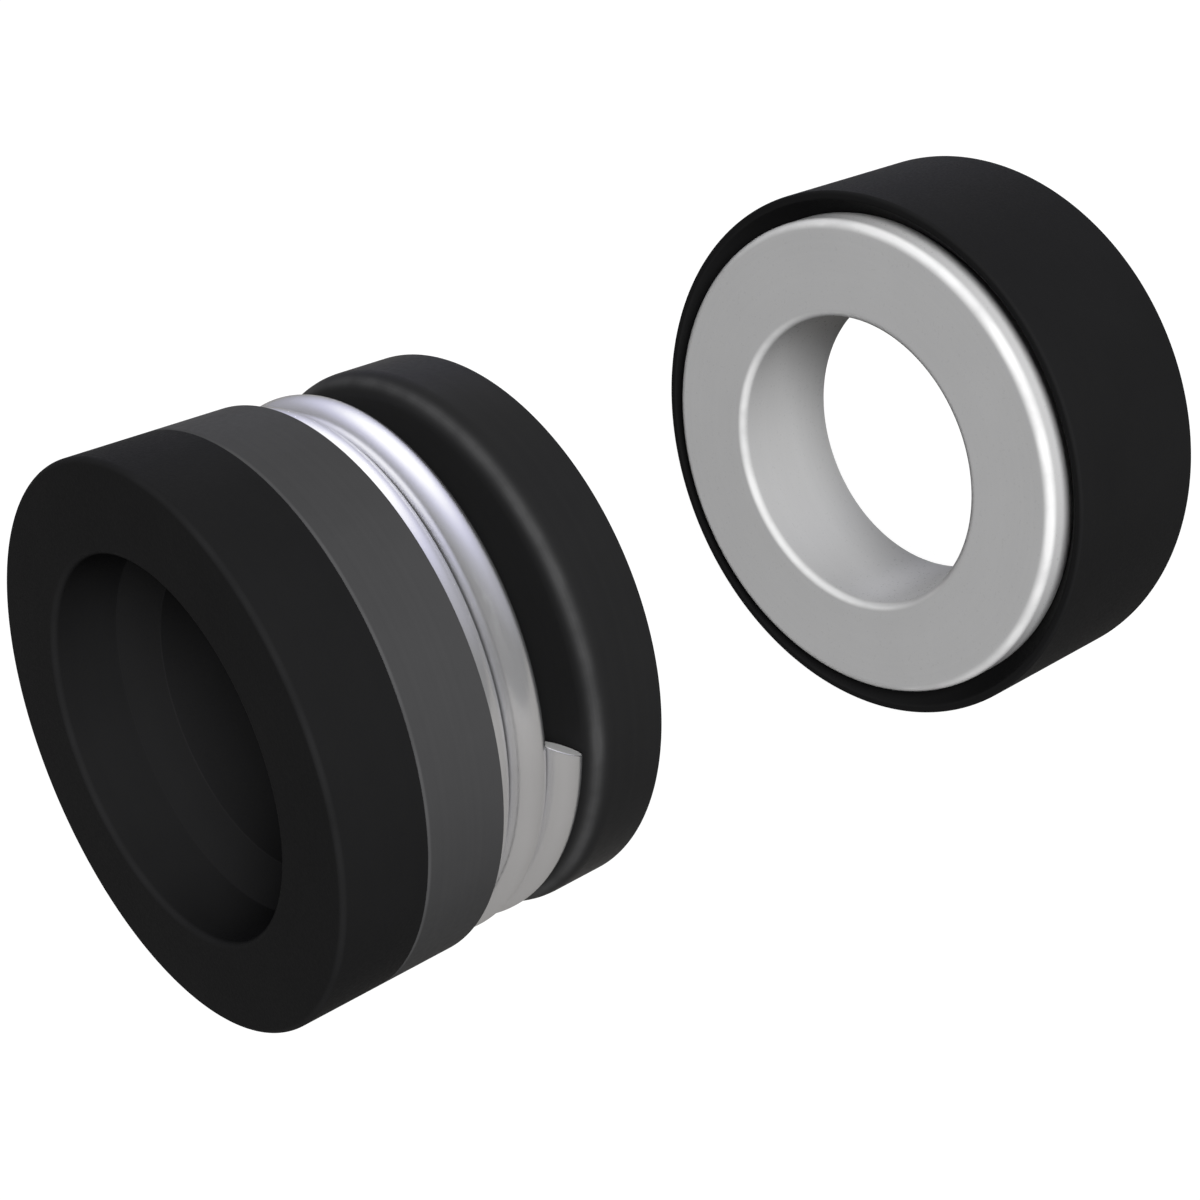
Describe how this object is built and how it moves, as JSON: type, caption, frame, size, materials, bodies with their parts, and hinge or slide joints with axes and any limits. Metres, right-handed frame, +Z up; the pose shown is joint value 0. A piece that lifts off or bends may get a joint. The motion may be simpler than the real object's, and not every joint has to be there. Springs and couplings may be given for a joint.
{
  "type": "component mechanical seal",
  "caption": "Component mechanical seal: a sprung rotating head with an elastomer bellows, and a rubber-booted ceramic seat, set apart on one shaft axis.",
  "frame": {"origin": "on the shaft axis, at the middle of the rubber bore that grips the shaft", "axes": "+X along the shaft axis, from the head's tail towards the stationary seat; +Z up"},
  "size_m": [0.0736, 0.0404, 0.0404],
  "materials": {
    "bellows_rubber": "moulded black rubber, satin",
    "band_steel": "drawn steel with a dark grey coat",
    "spring_wire": "bright drawn stainless wire",
    "shell_steel": "drawn steel with a satin black coat",
    "carbon": "carbon-graphite, lapped on the nose",
    "ceramic": "grey-white alumina, lapped on the face",
    "boot_rubber": "moulded black rubber, satin"
  },
  "bodies": {
    "tail": {"bellows": "bellows_rubber", "drive_band": "band_steel", "coil_spring": "spring_wire"},
    "face": {"head_shell": "shell_steel", "carbon_face": "carbon"},
    "seat": {"ceramic_seat": "ceramic", "seat_boot": "boot_rubber"}
  },
  "joints": [
    {"name": "face_float", "type": "slide", "parent": "tail", "child": "face", "axis": [1, 0, 0], "range_m": [-0.0006, 0], "stiffness_N_per_m": 5000, "deforming": ["coil_spring", "bellows"]},
    {"name": "seat_turn", "type": "hinge", "parent": "tail", "child": "seat", "pos_m": [0.0552, 0, 0], "axis": [1, 0, 0], "continuous": true}
  ]
}
